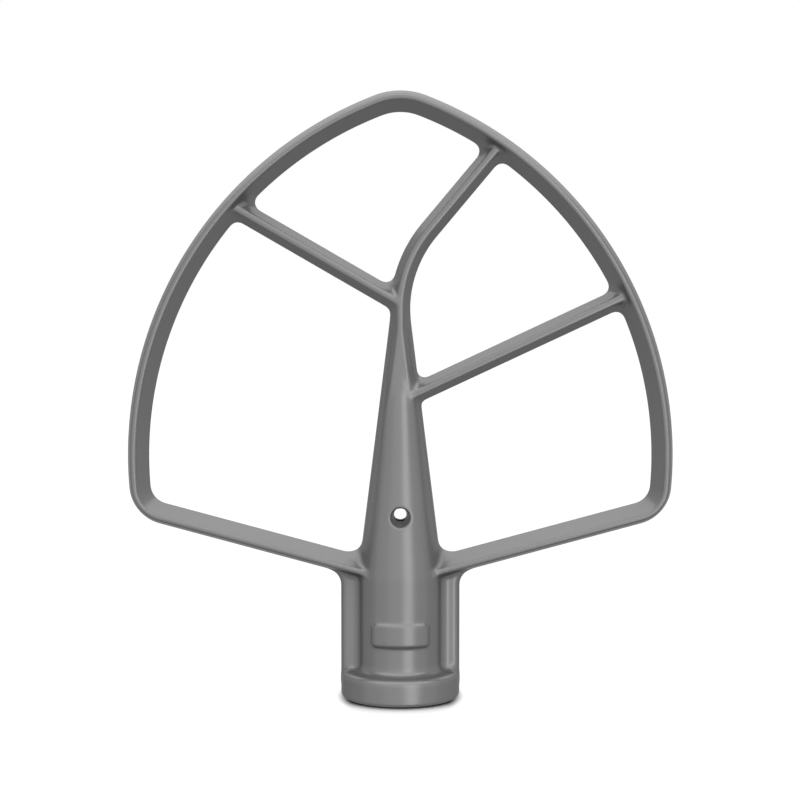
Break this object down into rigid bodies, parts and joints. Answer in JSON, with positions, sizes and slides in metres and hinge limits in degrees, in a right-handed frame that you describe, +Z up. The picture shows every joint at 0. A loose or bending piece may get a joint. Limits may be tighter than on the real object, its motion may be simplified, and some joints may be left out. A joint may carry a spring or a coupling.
{
  "type": "stand mixer flat beater",
  "caption": "Flat beater for a stand mixer: a shield-shaped rim with branching bars on a tapered stem, and a hub with a turn-and-lock socket for the mixer's shaft.",
  "frame": {"origin": "centre of the hub's rim face, on the axis of the shaft bore", "axes": "+Z up the stem from the hub to the rounded top, +X to the right seen from the side with the pad, which faces -Y"},
  "size_m": [0.1404, 0.0306, 0.1556],
  "materials": {
    "coated_aluminium": "smooth silver-grey satin coating on a die casting"
  },
  "bodies": {
    "root": {"beater_casting": "coated_aluminium"}
  },
  "joints": []
}
